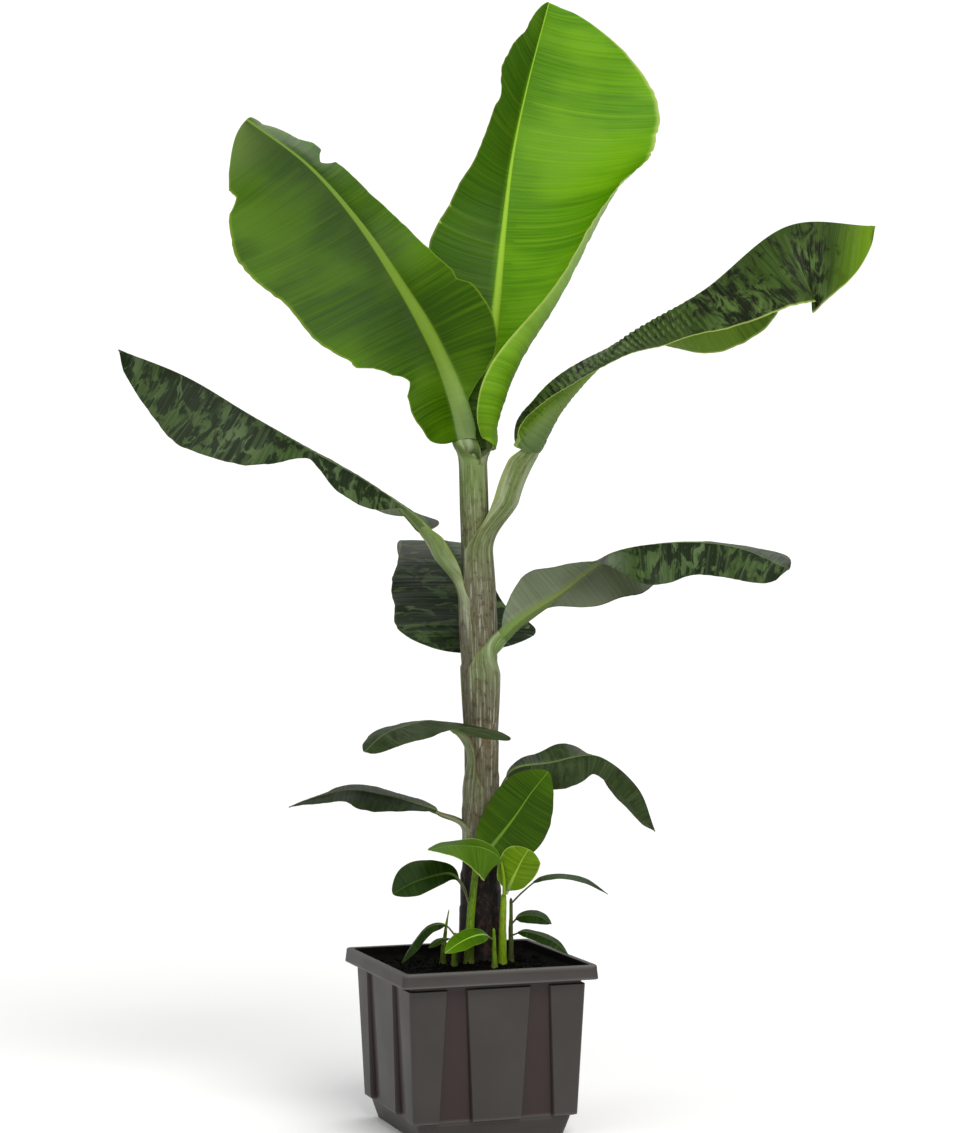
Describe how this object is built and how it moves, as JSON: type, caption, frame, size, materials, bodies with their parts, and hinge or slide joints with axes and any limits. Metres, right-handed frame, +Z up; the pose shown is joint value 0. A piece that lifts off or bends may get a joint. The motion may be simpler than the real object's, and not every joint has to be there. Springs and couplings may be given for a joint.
{
  "type": "potted banana plant",
  "caption": "Dwarf banana plant with large arching leaves on one stout stem and small suckers at its foot, standing in a square tapered nursery pot.",
  "frame": {"origin": "centre of the pot's flat underside, on the surface the pot stands on", "axes": "+Z up along the plant; X and Y square to the pot's sides"},
  "size_m": [1.074, 0.7853, 1.7329],
  "materials": {
    "pot_plastic": "satin, dark taupe moulded plastic",
    "potting_mix": "matt, crumbly",
    "stem_skin": "waxy, streaked olive and brown",
    "shoot_skin": "smooth, waxy",
    "leaf_fresh": "satin, bright green with fine parallel veins",
    "leaf_dark": "satin, dark green with darker mottling",
    "leaf_pale": "satin, pale green"
  },
  "bodies": {
    "root": {"pot": "pot_plastic", "potting_soil": "potting_mix", "pseudostem": "stem_skin", "sucker_stem_left": "shoot_skin", "sucker_stem_right": "shoot_skin", "sucker_stem_behind": "shoot_skin", "sucker_stem_front": "shoot_skin", "sucker_stem_spear": "shoot_skin", "sucker_stem_side": "shoot_skin", "petiole_top": "stem_skin", "petiole_upper_left": "stem_skin", "petiole_left": "stem_skin", "petiole_upper_right": "stem_skin", "petiole_right": "stem_skin", "petiole_back": "stem_skin", "petiole_front_left": "stem_skin", "petiole_low_left": "stem_skin", "petiole_low_right": "stem_skin", "leaf_top": "leaf_fresh", "leaf_upper_left": "leaf_fresh", "leaf_left": "leaf_dark", "leaf_upper_right": "leaf_dark", "leaf_right": "leaf_dark", "leaf_back": "leaf_dark", "leaf_front_left": "leaf_dark", "leaf_low_left": "leaf_dark", "leaf_low_right": "leaf_dark", "leaf_left_big": "leaf_fresh", "leaf_left_dark": "leaf_dark", "leaf_right_pale": "leaf_pale", "leaf_right_cupped": "leaf_fresh", "leaf_behind_long": "leaf_dark", "leaf_behind_mid": "leaf_dark", "leaf_behind_low": "leaf_dark", "leaf_front_leaf": "leaf_dark", "leaf_side_arched": "leaf_dark", "leaf_side_small": "leaf_dark"}
  },
  "joints": []
}
